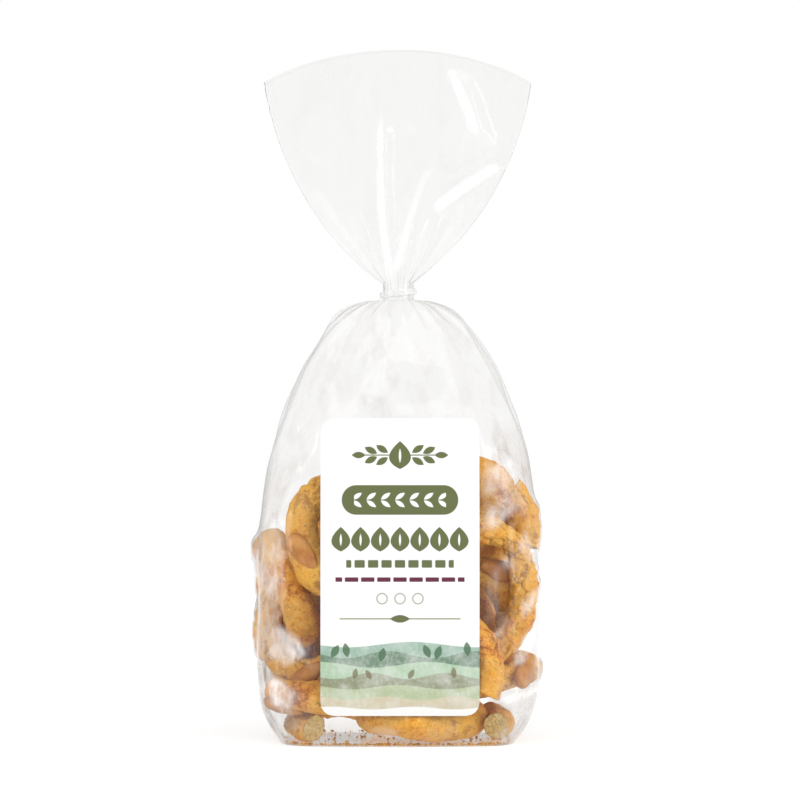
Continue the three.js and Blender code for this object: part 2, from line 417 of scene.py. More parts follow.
# One almond, lying on the rope: a rounded seed with a blunt and a pointed end, sunk into the dough. Jut is
# how far it may stand out through the bag, and under how deep it stays below the label
almond = {
    "long": 20,
    "wide": 9,
    "thick": 6.5,
    "rows": 40,
    "columns": 36,
    "sunk": 3.2,
    "lean": 35,
    "jut": 1.5,
    "under": 0.8,
}


def almondPoints(seed):
    rng = np.random.default_rng(900 + seed)
    length, width, thick = [almond[key] / 2 * rng.uniform(0.88, 1.08) for key in ("long", "wide", "thick")]
    along = np.linspace(0, math.pi, almond["rows"])[1:-1, None]
    around = np.linspace(0, 2 * math.pi, almond["columns"], endpoint=False)[None]
    taper = np.sin(along) ** 0.8 * (1 - 0.28 * np.cos(along))
    lengthwise = length * np.cos(along) + 0 * around
    grid = [lengthwise, width * taper * np.cos(around), thick * taper * np.sin(around)]
    points = np.stack(grid, 2).reshape(-1, 3)
    points = np.concatenate([points, [[length, 0, 0], [-length, 0, 0]]])
    points += 0.3 * lumps(points, 5, 40 + seed)[:, None] * points / np.linalg.norm(points, axis=1)[:, None]
    rows, columns = almond["rows"] - 2, almond["columns"]
    faces = [list(face) for face in gridFaces(rows, columns, False)]
    last = (rows - 1) * columns
    for i in range(columns):
        faces.append([rows * columns, (i + 1) % columns, i])
        faces.append([rows * columns + 1, last + i, last + (i + 1) % columns])
    return points, faces


# How high the baked surface stands: swellings, ridges, pebbles, grain, and cracks where the crust is rough.
# And how toasted it is: more on what stands out, less in cracks and pits
def crustRelief(points, spec, seed):
    swelling = lumps(points, 9, seed + 1)
    pebbles = 1 - 2 * np.abs(lumps(points, 3.4, seed + 21))
    grain = lumps(points, 1.3, seed + 41)
    rough = spec.get("rough", rope["rough"]) * smooth(-0.45, 0.2, lumps(points, 14, seed + 61))
    crackLine = np.abs(lumps(points, 6.5, seed + 81) + 0.25 * lumps(points, 2, seed + 101))
    crack = (1 - smooth(0, 0.09, crackLine)) * rough
    pits = smooth(0.45, 0.7, lumps(points, 2.3, seed + 121)) * rough
    ridges = 0.4 - np.abs(lumps(points, 8, seed + 201))
    height = 0.7 * swelling + 0.8 * ridges + (0.22 + 0.33 * rough) * pebbles + (0.12 + 0.18 * rough) * grain
    height -= rope["crackDepth"] * crack + rope["pitDepth"] * pits
    toast = 0.5 + spec.get("bake", 0) + 0.24 * swelling + 0.18 * pebbles
    return height, toast, crack, pits


# The groove where a ring's two ends were pressed together
def seamDepth(shares, arcLength, around, seed):
    away = ((shares - 37 * seed % 360 / 360 + 0.5) % 1 - 0.5) * arcLength
    slant = away[:, None] - rope["seamSlant"] * np.cos(around + seed)[None]
    return rope["seamDepth"] * np.exp(-((slant.ravel() / rope["seamWide"]) ** 2))


# Closes one end of a broken rope, from its rim in to the middle, torn and full of holes
def brokenEnd(points, rim, ahead, sign, seed):
    sides, rings = rope["sides"], rope["breakRings"]
    outer, previous = points[rim], rim
    added, faces, shares = [], [], []
    total = len(points)
    for step in range(1, rings + 1):
        share = step / rings
        ring = outer * (1 - share) + outer.mean(0) * share
        torn = 1.1 * lumps(ring, 3.2, seed + 161) + 1.0 * smooth(0.1, 0.6, lumps(ring, 1.6, seed + 181))
        dent = 0.9 * smooth(0, 0.25, share) - 0.9 * torn * smooth(0, 0.2, share)
        ring = ring - sign * ahead * dent[:, None]
        now = np.arange(sides) + total
        if step == rings:
            ring = ring.mean(0)[None]
            now = np.full(sides, total)
        for i in range(sides):
            j = (i + 1) % sides
            first, second = (j, i) if sign < 0 else (i, j)
            face = [previous[first], previous[second], now[second], now[first]]
            faces.append(face if step < rings else face[:3])
        added.append(ring)
        shares += [share] * len(ring)
        total += len(ring)
        previous = now
    return np.concatenate(added), faces, np.array(shares)


def buildTarallo(name, spec, seed, turn, place, materials):
    whole = isWhole(spec)
    arcLength = spec["ring"] * math.radians(spec.get("arc", 360))
    steps = rope["steps"] if whole else int(rope["steps"] * arcLength / rope["ringLength"])
    shares = np.arange(steps) / (steps if whole else steps - 1)
    middle, radius = ropeLine(spec, seed, shares)
    ahead = np.roll(middle, -1, 0) - np.roll(middle, 1, 0) if whole else np.gradient(middle, axis=0)
    ahead /= np.linalg.norm(ahead, axis=1)[:, None]
    side = np.cross(ahead, (0, 0, 1))
    side /= np.linalg.norm(side, axis=1)[:, None]
    up = np.cross(side, ahead)
    around = np.linspace(0, 2 * math.pi, rope["sides"], endpoint=False)
    cosine, sine = np.cos(around)[None, :, None], np.sin(around)[None, :, None]
    sine = np.where(sine < 0, sine * rope["flat"], sine)
    outward = cosine * side[:, None] + sine * up[:, None]
    body = middle[:, None] + radius[:, None, None] * outward
    points = body.reshape(-1, 3)

    height, toast, crack, pits = crustRelief(points, spec, seed)
    if whole:
        height -= seamDepth(shares, arcLength, around, seed)
    points = points + height[:, None] * outward.reshape(-1, 3)
    toast = toast + 0.16 * lumps(points, 18, seed + 141) - 0.4 * crack - 0.22 * pits
    crumb = 0 * toast
    faces = [list(face) for face in gridFaces(steps, rope["sides"], whole)]
    ends = () if whole else ((0, -1), (steps - 1, 1))
    for end, _ in ends:  # broken at a slant
        tilt = np.random.default_rng(seed + 7 * end).uniform(-1, 1, 2)
        tilt = tilt * spec.get("slant", rope["breakSlant"])
        near = np.clip(1 - np.abs(shares - shares[end]) * arcLength / rope["breakReach"], 0, 1)
        offset = points.reshape(body.shape) - middle[:, None]
        slide = (offset @ side[end]) * tilt[0] + (offset @ up[end]) * tilt[1]
        points = points + ((slide * near[:, None])[..., None] * ahead[end]).reshape(-1, 3)
    for end, sign in ends:
        rim = np.arange(rope["sides"]) + end * rope["sides"]
        added, newFaces, inward = brokenEnd(points, rim, ahead[end], sign, seed)
        points = np.concatenate([points, added])
        toast = np.concatenate([toast, 0.5 - 0.3 * inward])
        crumb = np.concatenate([crumb, 1 + 0 * inward])
        faces += newFaces
    slots = [0] * len(faces)

    # almonds pressed into the rope, lying along it, but none that would stand out through the bag
    for number, (along, tilt) in enumerate(spec.get("almonds", [])):
        seedPoints, seedFaces = almondPoints(seed * 7 + number)
        at = int(along / spec.get("arc", 360) * steps) % steps
        angle = math.radians(tilt)
        out = math.cos(angle) * side[at] + math.sin(angle) * up[at]
        lean = Quaternion(Vector(out), math.radians(almond["lean"] * math.sin(seed + 2.3 * number)))
        forward = np.array(lean @ Vector(ahead[at]))
        basis = np.stack([forward, np.cross(out, forward), out])
        centre = middle[at] + (radius[at] + almond["thick"] / 2 - almond["sunk"]) * out
        seen = ((centre - middle.mean(0)) @ turn.T + place)[None]
        free = float(clearOfLabel(seen)[0])
        jut = almond["thick"] / 2 - float(wallAt(seen)[0][0])
        if jut > almond["jut"] * free - almond["under"] * (1 - free):
            continue
        start = len(points)
        points = np.concatenate([points, seedPoints @ basis + centre])
        toast = np.concatenate([toast, 0.5 + 0.3 * lumps(seedPoints, 4, seed)])
        crumb = np.concatenate([crumb, np.zeros(len(seedPoints))])
        faces += [[start + corner for corner in face] for face in seedFaces]
        slots += [1] * len(seedFaces)
    placed = (points - middle.mean(0)) @ turn.T + place
    piece = makePiece(name, placed, faces, materials, slots, {"toast": toast, "crumb": crumb})
    return piece


# Crust: golden to brown with the relief, sandy grain, dark specks of anise, pale crumb where it is broken
def crustMaterial():
    tree = Tree("bakedCrust")
    toast, crumb = tree.attribute("toast"), tree.attribute("crumb")
    mottle = tree.noise(7, detail=4)
    grain = tree.noise(1.1, detail=3, seed=0.3)
    share = (toast + (mottle - 0.5) * 0.4 + (grain - 0.5) * 0.85).ramp(0.05, 1.05)
    stops = [
        (0.0, colour(174, 118, 44)),
        (0.3, colour(224, 170, 70)),
        (0.6, colour(220, 156, 50)),
        (0.85, colour(198, 122, 34)),
        (1.0, colour(142, 80, 28)),
    ]
    baked = tree.add("ShaderNodeValToRGB", {"stops": stops}, {"Fac": share})
    specks = tree.noise(1.5, detail=1, seed=0.9).ramp(0.7, 0.76)
    flecks = tree.noise(2.1, detail=2, seed=1.3).ramp(0.56, 0.66)
    flecked = tree.blend(flecks * 0.4, baked, colour(236, 192, 112))
    spotted = tree.blend(specks * 0.55, flecked, colour(104, 58, 26))
    holes = tree.noise(0.9, detail=3, seed=0.5)
    inside = tree.blend(holes.ramp(0.3, 0.65), colour(206, 166, 88), colour(238, 214, 148))
    shown = tree.blend(crumb, spotted, inside)
    relief = grain * 0.6 + tree.noise(0.45, detail=2, seed=0.7) * 0.4 - crumb * holes * 1.5
    return tree.painted({
        "Base Color": shown,
        "Roughness": grain.ramp(0.3, 0.7, 0.5, 0.68),
        "Normal": tree.bump(relief, 1.0, 0.6),
        "Subsurface Weight": 0.08,
        "Subsurface Scale": 0.003,
        "Specular IOR Level": 0.35,
    })


# Blanched, toasted almond
def almondMaterial():
    tree = Tree("toastedAlmond")
    toast = tree.attribute("toast")
    streaks = tree.noise(1.2, detail=3, stretch=(1, 1, 0.4))
    share = (toast + (streaks - 0.5) * 0.8 + (tree.noise(6) - 0.5) * 0.8).ramp(0.15, 0.85)
    shade = tree.blend(share, colour(196, 136, 50), colour(168, 100, 28))
    return tree.painted({
        "Base Color": shade,
        "Roughness": streaks.ramp(0.3, 0.7, 0.38, 0.5),
        "Normal": tree.bump(streaks, 0.4, 0.2),
        "Subsurface Weight": 0.1,
        "Subsurface Scale": 0.003,
    })


biscuitMaterials = [crustMaterial(), almondMaterial()]
turns, places = settle()
biscuits = [
    buildTarallo(name, spec, number, turns[number], places[number], biscuitMaterials)
    for number, (name, spec) in enumerate(taralloni.items())
]
print("biscuits built")


# The film: one sheet from the foot to the rim of the fan. Its rows run up the bag, and its columns round it
# from +X past the back. It is drawn over the biscuits with clearance, and slack lets it sink between them
film = {
    "columns": 288,
    "girth": 390,
    "footRows": 12,
    "bodyRows": 178,
    "bodyTop": 215,
    "shoulders": (105, 165),
    "neck": (180, 199),
    "clearance": 0.5,
    "reachOut": 12,
    "tautRounds": 40,
    "slack": 0.93,
    "tuckDeep": 5,
    "tuckWide": 7,
    "tuckFrom": (122, 167),
    "tuckTo": (176, 198),
}
# the fan: rows at start to radius from a middle in the neck, and at corner where its two corners are
fan = {
    "rows": 96,
    "top": 130,
    "start": 8,
    "radius": 111.5,
    "corner": 114,
    "halfAngle": (58, 32.5),
    "middle": 204.5,
    "folds": 1.5,
    "wave": 2,
    "wavePhase": 0.6,
    "flattening": 22,
    "gap": 2.4,
    "neckFades": 14,
}
# folds that run through the neck: how many knots they have round the bag, and their random seed
gathers = {"broad": (22, 11), "fine": (46, 12)}
# flat facets of crumpled film: how wide and tall they are, and how high they stand low on the bag, in the
# shoulders and at the neck
facets = [
    dict(wide=21, tall=34, low=0.7, shoulder=2.0, neck=0.6, seed=5),
    dict(wide=11, tall=15, low=0.5, shoulder=0.6, neck=0.3, seed=6),
]
# how much painted sheen whitens the film, standing for lights mirrored in its flat facets: everywhere, on
# the left, high on the right, in the foot's corners, and in the fan. The second number of a pair is for
# flat facets alone
paintedSheenAmounts = {"all": 0.14, "left": (0.12, 0.3), "highRight": 0.25, "corner": (0.15, 0.3), "fan": (0.05, 0.07)}
# single pleats in the fan's front film: where across it each starts and ends, from -1 to 1, how far from
# the neck that is, how wide and high it stands, and how white the painted highlight on its left flank is
pleats = [
    dict(across=(-0.2, -0.1), reach=(6, 82), wide=4, high=2.0, sheenWhite=0.6),
    dict(across=(0.45, 0.72), reach=(104, 80), wide=7, high=1.8, sheenWhite=0.7),
    dict(across=(0.62, 1.0), reach=(42, 74), wide=7, high=1.7, sheenWhite=0.6),
    dict(across=(0.2, 0.36), reach=(8, 60), wide=5, high=1.2, sheenWhite=0.3),
    dict(across=(-0.55, -0.8), reach=(12, 66), wide=9, high=1.3, sheenWhite=0.15),
]
# creases in the front of the body: from and to, as (across, height), and how wide and high they stand
creases = [
    dict(ends=((-51, 54), (-50, 8)), wide=2.6, high=0.7),
    dict(ends=((-56, 14), (-24, 11.5)), wide=1.8, high=0.5),
    dict(ends=((-2, 10), (22, 5)), wide=1.8, high=0.4),
    dict(ends=((40, 20), (63, 27)), wide=2.4, high=0.9),
    dict(ends=((42, 13), (60, 9)), wide=2.0, high=0.5),
    dict(ends=((46, 58), (59, 78)), wide=2.6, high=0.6),
    dict(ends=((-58, 62), (-40, 34)), wide=2.8, high=0.6),
    dict(ends=((39, 112), (60, 99)), wide=2.6, high=0.7),
    dict(ends=((-58, 96), (-44, 122)), wide=3.0, high=0.8),
]
# painted highlights: flat patches of the front painted white where they would mirror the lights, as convex
# outlines (across, height), and how white each is
glints = [
    (((-60, 51), (-58, 41), (-50, 36), (-41, 42), (-44, 49), (-53, 55)), 0.48),
    (((-61, 96), (-62, 70), (-54, 66), (-51, 92), (-55, 104)), 0.36),
    (((-60, 30), (-59, 19), (-47, 17), (-46, 24), (-52, 31)), 0.3),
    (((55, 64), (56, 57), (60, 61), (63.5, 68), (62.5, 72)), 0.55),
    (((55, 48.5), (51, 36), (57.5, 38), (62.5, 48.5), (61.6, 55)), 0.5),
    (((36, 124), (37, 111), (54, 121), (52, 130)), 0.45),
    (((36.5, 96), (45, 99), (54, 108), (47, 112), (37, 104)), 0.4),
    (((53, 90), (59, 82), (62, 86), (57, 99)), 0.35),
    (((46, 84), (52, 79), (53, 81.5), (47, 86.5)), 0.4),
    (((40, 48.5), (45.5, 50.5), (47, 54)), 0.5),
    (((43, 22), (48, 19), (63.5, 24), (63.5, 27)), 0.5),
    (((-16, 9), (-6, 4), (2, 6), (-4, 10)), 0.2),
]


# How far points lie from a line, and how far along it, 0 to 1 between its ends
def besideLine(x, z, ends):
    (startX, startZ), (endX, endZ) = ends
    length = math.hypot(endX - startX, endZ - startZ)
    alongX, alongZ = (endX - startX) / length, (endZ - startZ) / length
    aside = (x - startX) * alongZ - (z - startZ) * alongX
    return aside, ((x - startX) * alongX + (z - startZ) * alongZ) / length


# How high the creases stand, on the front alone
def creaseHeights(x, z, front):
    total = 0 * x
    for crease in creases:
        aside, share = besideLine(x, z, crease["ends"])
        ridge = np.clip(1 - np.abs(aside) / crease["wide"], 0, 1)
        total += crease["high"] * ridge * smooth(0, 0.15, share) * (1 - smooth(0.85, 1, share)) * front
    return total


# How white the painted highlights are: full inside an outline, and none outside it
def glintWhite(x, z, front):
    total = 0 * x
    for outline, sheenWhite in glints:
        inside = np.full(x.shape, np.inf)
        for start, end in zip(outline, outline[1:] + outline[:1]):
            aside, _ = besideLine(x, z, (start, end))
            inside = np.minimum(inside, -aside)
        total = np.maximum(total, sheenWhite * smooth(-0.3, 0.8, inside) * front)
    return total


# A level section with its points evenly spaced round it
def section(halfX, halfY, corner, columns):
    angle = np.linspace(0, 2 * math.pi, 1441)
    cosine, sine = np.cos(angle), np.sin(angle)
    x = halfX * np.sign(cosine) * np.abs(cosine) ** (2 / corner)
    y = halfY * np.sign(sine) * np.abs(sine) ** (2 / corner)
    length = np.concatenate([[0], np.cumsum(np.hypot(np.diff(x), np.diff(y)))])
    even = np.linspace(0, length[-1], columns, endpoint=False)
    return np.stack([np.interp(even, length, x), np.interp(even, length, y)], 1)


# Random heights joined by flat triangles, or one height for each, over a strip that closes round the bag
def facetHeights(wide, tall, top, heights, seed, flat=False):
    rng = np.random.default_rng(seed)
    around, columns = film["girth"], film["columns"]
    across = round(around / wide)
    rows = int(top / tall) + 3
    points, values = [], []
    for row in range(rows):
        for i in range(across):
            x = (i + 0.5 * (row % 2) + rng.uniform(-0.42, 0.42)) / across
            y = (row - 1 + rng.uniform(-0.42, 0.42)) * tall
            value = rng.uniform(-1, 1)
            for lap in (-1, 0, 1):
                if -0.3 < x + lap < 1.3:
                    points.append(Vector(((x + lap) * around, y)))
                    values.append(value)
    found = delaunay_2d_cdt(points, [], [], 0, 1e-6)
    corners = np.array([list(v) for v in found[0]])
    values = np.array(values)[[original[0] for original in found[3]]]
    places = np.arange(columns) / columns * around
    result = np.zeros((len(heights), columns))
    for triangle in found[2]:
        a, b, c = corners[list(triangle)]
        area = (b[0] - a[0]) * (c[1] - a[1]) - (b[1] - a[1]) * (c[0] - a[0])
        low, high = np.min([a, b, c], 0), np.max([a, b, c], 0)
        columnsIn = np.nonzero((places >= low[0]) & (places <= high[0]))[0]
        rowsIn = np.nonzero((heights >= low[1]) & (heights <= high[1]))[0]
        if abs(area) < 1e-6 or not len(columnsIn) or not len(rowsIn):
            continue
        x, y = np.meshgrid(places[columnsIn], heights[rowsIn])
        toB = ((x - a[0]) * (c[1] - a[1]) - (y - a[1]) * (c[0] - a[0])) / area
        toC = ((b[0] - a[0]) * (y - a[1]) - (b[1] - a[1]) * (x - a[0])) / area
        inside = (toB >= 0) & (toC >= 0) & (toB + toC <= 1)
        va, vb, vc = values[list(triangle)] if not flat else [values[triangle[0]]] * 3
        patch = va + (vb - va) * toB + (vc - va) * toC
        block = result[np.ix_(rowsIn, columnsIn)]
        result[np.ix_(rowsIn, columnsIn)] = np.where(inside, patch, block)
    return result


# Folds that run up the film: random heights round the bag, joined by straight lines
def foldsRound(knots, seed):
    rng, columns = np.random.default_rng(seed), film["columns"]
    places = (np.arange(knots) + rng.uniform(-0.35, 0.35, knots)) / knots
    heights = rng.uniform(0.35, 1, knots) * np.where(np.arange(knots) % 2, 1, -1)
    places = np.concatenate([places - 1, places, places + 1])
    return np.interp(np.arange(columns) / columns, places, np.tile(heights, 3))


# Evens out a grid that closes round the bag
def eased(grid, rounds):
    for _ in range(rounds):
        grid = 0.5 * grid + 0.25 * (np.roll(grid, 1, 1) + np.roll(grid, -1, 1))
        padded = np.concatenate([grid[:1], grid, grid[-1:]])
        grid = 0.5 * grid + 0.25 * (padded[:-2] + padded[2:])
    return grid


# How far out from each point of the film the biscuits reach, along the way out of the bag
def biscuitReach(grid, outward):
    deps = bpy.context.evaluated_depsgraph_get()
    reach = np.full(grid.shape[:2], -5.0)
    for piece in biscuits:
        tree = BVHTree.FromObject(piece, deps)
        corners = np.array([list(corner) for corner in piece.bound_box]) / mm
        low, high = corners.min(0) - film["reachOut"], corners.max(0) + film["reachOut"]
        for row, column in np.argwhere(np.all((grid > low) & (grid < high), axis=2)):
            way = outward[row, column]
            start = grid[row, column] + way * film["reachOut"]
            hit = tree.ray_cast(Vector(start * mm), Vector(-way), 2 * film["reachOut"] * mm)
            if hit[0] is not None:
                reach[row, column] = max(reach[row, column], film["reachOut"] - hit[3] / mm)
    around = [np.roll(reach, (up, across), (0, 1)) for up in (-1, 0, 1) for across in (-1, 0, 1)]
    return np.max(around, 0)


# Painted sheen: whole flat patches are painted whiter, as if they mirrored the lights, most of them on the
# left side, high on the right and in the foot's corners
def bodySheen(x, z, heights):
    patch = facetHeights(13, 19, film["bodyTop"], heights, 41, flat=True)
    left = smooth(-49, -57, x) * (1 - smooth(110, 135, z))
    highRight = smooth(30, 45, x) * smooth(98, 112, z) * (1 - smooth(135, 150, z))
    corner = smooth(42, 50, np.abs(x)) * (1 - smooth(26, 40, z))
    sided = paintedSheenAmounts["left"][1] * left + paintedSheenAmounts["highRight"] * highRight
    milk = smooth(0.2, 0.4, patch) * paintedSheenAmounts["all"] + smooth(-0.4, 0.1, patch) * sided
    cornered = paintedSheenAmounts["corner"][0] + paintedSheenAmounts["corner"][1] * smooth(-0.3, 0.3, patch)
    return milk + paintedSheenAmounts["left"][0] * left + cornered * corner


# The body's points, and how much painted sheen and painted highlight each has
def bodyFilm():
    columns = film["columns"]
    share = np.linspace(0, 1, film["bodyRows"] + 1)
    heights = bag["neckHeight"] * (share - 0.45 * np.sin(2 * math.pi * share) / (2 * math.pi))
    grid = np.zeros((len(heights), columns, 3))
    for row, z in enumerate(heights):
        halfX, halfY = float(bagHalf(z, 0)), float(bagHalf(z, 1))
        grid[row, :, :2] = section(halfX, halfY, float(squareness(z)), columns)
        grid[row, :, 2] = z
    flat = grid.reshape(-1, 3)
    outward = wallAt(flat * (0.999, 0.999, 1))[1].reshape(grid.shape)
    free = clearOfLabel(flat).reshape(grid.shape[:2])
    x, y, z = np.moveaxis(grid, 2, 0)
    above, neck = smooth(*film["shoulders"], z), smooth(*film["neck"], z)
    low, shoulder = 1 - above, above * (1 - neck)
    crumple = 0
    for facet in facets:
        amount = facet["low"] * low + facet["shoulder"] * shoulder + facet["neck"] * neck
        pattern = facetHeights(facet["wide"], facet["tall"], film["bodyTop"], heights, facet["seed"])
        crumple = crumple + amount * pattern
    tuck = film["tuckDeep"] * smooth(*film["tuckFrom"], z) * (1 - smooth(*film["tuckTo"], z))
    tuck = tuck * np.exp(-((y / film["tuckWide"]) ** 2))
    front = 1.0 * (y < 0)
    crumple = eased(crumple, 1) + creaseHeights(x, z, front)
    rest = (crumple - 0.3) * free - tuck * np.abs(outward[..., 0]) - 0.25 * (1 - free)

    # drawn tight over the biscuits: out where they touch it, and straight between those places
    needed = (biscuitReach(grid, outward) + film["clearance"] - rest) * free
    lift = np.maximum(needed, 0)
    for _ in range(film["tautRounds"]):
        lift = np.maximum(eased(lift, 1) * film["slack"], needed)
    print("film drawn over the biscuits, furthest", round(float(lift.max()), 1), "mm")
    grid = grid + outward * (rest + lift)[..., None]

    # gathers towards the neck, more of them the nearer it is
    broad = foldsRound(*gathers["broad"])[None] * (0.035 * smooth(155, 185, z) + 0.09 * smooth(182, 199, z))
    fine = foldsRound(*gathers["fine"])[None] * 0.11 * smooth(188, 200, z)
    grid[..., :2] *= (1 + (broad + fine))[..., None]

    x = grid[..., 0]
    # painted highlights on the front, and painted sheen over all but what lies behind the label
    glare = glintWhite(x, z, front)
    milk = np.maximum(bodySheen(x, z, heights), glare) * free
    return grid, eased(milk, 1), eased(smooth(0, 0.3, glare), 1)


# Rows of the foot's film, from its rim in to the middle, a little wrinkled
def footFilm(rim):
    rows = []
    for step in range(film["footRows"]):
        share = (step + 1) / (film["footRows"] + 1)
        row = rim * (share, share, 0)
        wrinkle = 0.25 + 0.2 * lumps(row + (0, 0, 7), 13, 31)
        row[:, 2] = wrinkle * (1 - share**6)
        rows.append(row)
    return np.array(rows)


# How high the pleats stand at a row of the fan, and how white their painted highlights are
def pleatHeights(across, radius, halfWidth):
    total, sheenWhite = 0 * across, 0 * across
    for pleat in pleats:
        (startAcross, endAcross), (startReach, endReach) = pleat["across"], pleat["reach"]
        share = (radius - startReach) / (endReach - startReach)
        middle = startAcross + (endAcross - startAcross) * share
        aside = (across - middle) * halfWidth / pleat["wide"]
        shown = smooth(-0.08, 0.12, share) * (1 - smooth(0.85, 1.05, share))
        total += pleat["high"] * np.clip(1 - np.abs(aside), 0, 1) * shown
        sheenWhite = np.maximum(sheenWhite, pleat["sheenWhite"] * np.clip(1 - 2 * np.abs(aside + 0.5), 0, 1) * shown)
    return np.array([total, sheenWhite])


# The fan's points, and how much painted sheen and painted highlight each has
def fanFilm():
    columns = film["columns"]
    outward = np.linspace(0, 1, fan["rows"]) ** 1.15
    reach = fan["start"] + (fan["radius"] - fan["start"]) * outward
    near, far = np.radians(fan["halfAngle"])
    facet = facetHeights(34, 30, fan["top"], reach, 21)
    small = facetHeights(15, 14, fan["top"], reach, 22)
    patch = facetHeights(30, 34, fan["top"], reach, 24, flat=True)
    radial = foldsRound(26, 23)
    broad, fine = foldsRound(*gathers["broad"]), foldsRound(*gathers["fine"])
    sheenWhite = np.zeros((len(reach), columns))
    grid = np.zeros((len(reach), columns, 3))
    for row, radius in enumerate(reach):
        share = radius / fan["radius"]
        past = radius - fan["start"]
        halfAngle = near + (far - near) * share
        halfWidth = radius * math.sin(halfAngle)
        halfDepth = fan["gap"] + (bag["neckHalf"] - fan["gap"]) * math.exp(-past / fan["flattening"])
        ring = section(halfWidth, halfDepth, 2 - 0.5 * min(share * 2, 1), columns)
        across = ring[:, 0] / halfWidth
        edge = 1 - np.abs(across) ** 6
        wave = np.cos(math.pi * fan["folds"] * across + fan["wavePhase"])
        wave = fan["wave"] * smooth(0.05, 0.8, share) * wave
        crease = (1.3 * facet[row] + 0.3 * small[row]) * smooth(0.05, 0.5, share) * edge
        crease += radial * edge * 0.7 * smooth(8, 25, radius) * (1 - smooth(25, 60, radius))
        squeeze = 1 + (broad * 0.125 + fine * 0.11) * math.exp(-past / fan["neckFades"])
        raised, sheenWhite[row] = pleatHeights(across, radius, halfWidth) * (ring[:, 1] < 0)
        corner = 1 + (fan["corner"] / fan["radius"] - 1) * share * across**2
        rim = 1 + 0.006 * share**4 * np.where(ring[:, 1] > 0, 1, -0.4)
        angle = across * halfAngle
        grid[row, :, 0] = radius * corner * rim * np.sin(angle) * squeeze
        grid[row, :, 1] = ring[:, 1] * squeeze + wave + crease - raised
        grid[row, :, 2] = fan["middle"] + radius * corner * rim * np.cos(angle)
    # painted sheen on the fan's flat facets, whiter still on the pleats' painted highlights
    milk = paintedSheenAmounts["fan"][0] + paintedSheenAmounts["fan"][1] * patch
    return grid, np.maximum(eased(milk, 2), sheenWhite), eased(smooth(0, 0.2, sheenWhite), 1)


# Clear film: seen through, and a mirror that is stronger at a slant. Over it a whitish layer of painted
# sheen that stands for lights mirrored in the film: as much as the mesh's amounts give, in noisy patches
# and streaks, more at a slant and on the painted highlights, and a whiter line along the fan's rim
def filmMaterial():
    tree = Tree("clearFilm")
    facing = tree.add("ShaderNodeLayerWeight", sockets={"Blend": 0.5}, output="Facing")
    mirror = 0.03 + 0.9 * facing**5
    patches = tree.noise(24, detail=2, stretch=(1, 1, 0.5)).ramp(0.45, 0.7)
    streaks = tree.noise(5, detail=2, stretch=(1, 1, 0.25), seed=0.4).ramp(0.6, 0.8)
    broken = tree.noise(4, detail=3, stretch=(1, 1, 0.5), seed=0.6).ramp(0.35, 0.65, 0.45, 1.25)
    # the share of painted sheen: the mesh's amounts in noisy patches, more at a slant, on the rim and on
    # the painted highlights
    paintedSheenShare = tree.attribute("milk") * (0.6 + 0.8 * patches) * broken
    paintedSheenShare = paintedSheenShare + 0.03 * patches * streaks + 0.12 * facing**2
    paintedSheenShare = paintedSheenShare + tree.attribute("rim") * 0.35 + tree.attribute("glare") * 0.09
    ripple = tree.noise(11, detail=2, stretch=(1, 1, 0.6), seed=0.2)
    clear = tree.add("ShaderNodeBsdfTransparent", sockets={"Color": (0.98, 0.98, 0.976, 1)})
    gloss = tree.principled({
        "Base Color": (0.97, 0.97, 0.97, 1),
        "Metallic": 1.0,
        "Roughness": 0.12,
        "Normal": tree.bump(ripple, 0.3, 0.5),
    })
    # the painted sheen's colour: grey, near white on the painted highlights
    sheenWhite = tree.blend(tree.attribute("glare"), (0.62, 0.6, 0.58, 1), (0.92, 0.92, 0.92, 1))
    milk = tree.principled({"Base Color": sheenWhite, "Roughness": 0.4})
    clearAndSheen = tree.add("ShaderNodeMixShader", sockets={0: paintedSheenShare, 1: clear, 2: milk})
    return tree.finish(tree.add("ShaderNodeMixShader", sockets={0: mirror, 1: clearAndSheen, 2: gloss}))


def buildFilm():
    body, bodySheenAmount, bodyBright = bodyFilm()
    top, topSheenAmount, topBright = fanFilm()
    neck = [body[-1] + (0, 0, bag["neckLength"] * share) for share in (0.3, 0.65, 1)]
    foot = footFilm(body[0])
    rows = np.concatenate([foot, body, neck, top])
    columns = film["columns"]
    # each point's painted sheen, painted highlight and rim share, read by the film's material
    milk, glare, rim = np.zeros((3, len(rows) * columns + 1))
    for whole, low, high in ((milk, bodySheenAmount, topSheenAmount), (glare, bodyBright, topBright)):
        whole[len(foot) * columns :][: low.size] = low.ravel()
        whole[-1 - high.size : -1] = high.ravel()
    rim[-1 - columns : -1] = 1
    faces = [list(face) for face in gridFaces(len(rows), columns, False)]
    points = np.concatenate([rows.reshape(-1, 3), [[0, 0, 0.3]]])
    for i in range(columns):
        faces.append([(i + 1) % columns, i, len(points) - 1])
    points[:, 2] = np.maximum(points[:, 2], 0.05)
    values = {"milk": milk, "glare": glare, "rim": rim}
    sheet = makePiece("film", points, faces, [filmMaterial()], None, values)
    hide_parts("bag")


buildFilm()
print("film built")


# The label's print: an almond sprig, a plaque with a chain of leaves, a row of almonds, dashes, three small
# rings, and soft green waves at the foot. Places are millimetres from the label's middle line and its foot.
olive, paleOlive, burgundy = colour(92, 100, 60), colour(140, 146, 114), colour(92, 26, 56)
paper, greyGreen = colour(227, 227, 225), colour(160, 164, 152)
tuftGreen, tuftBrown = colour(70, 104, 74), colour(112, 104, 74)
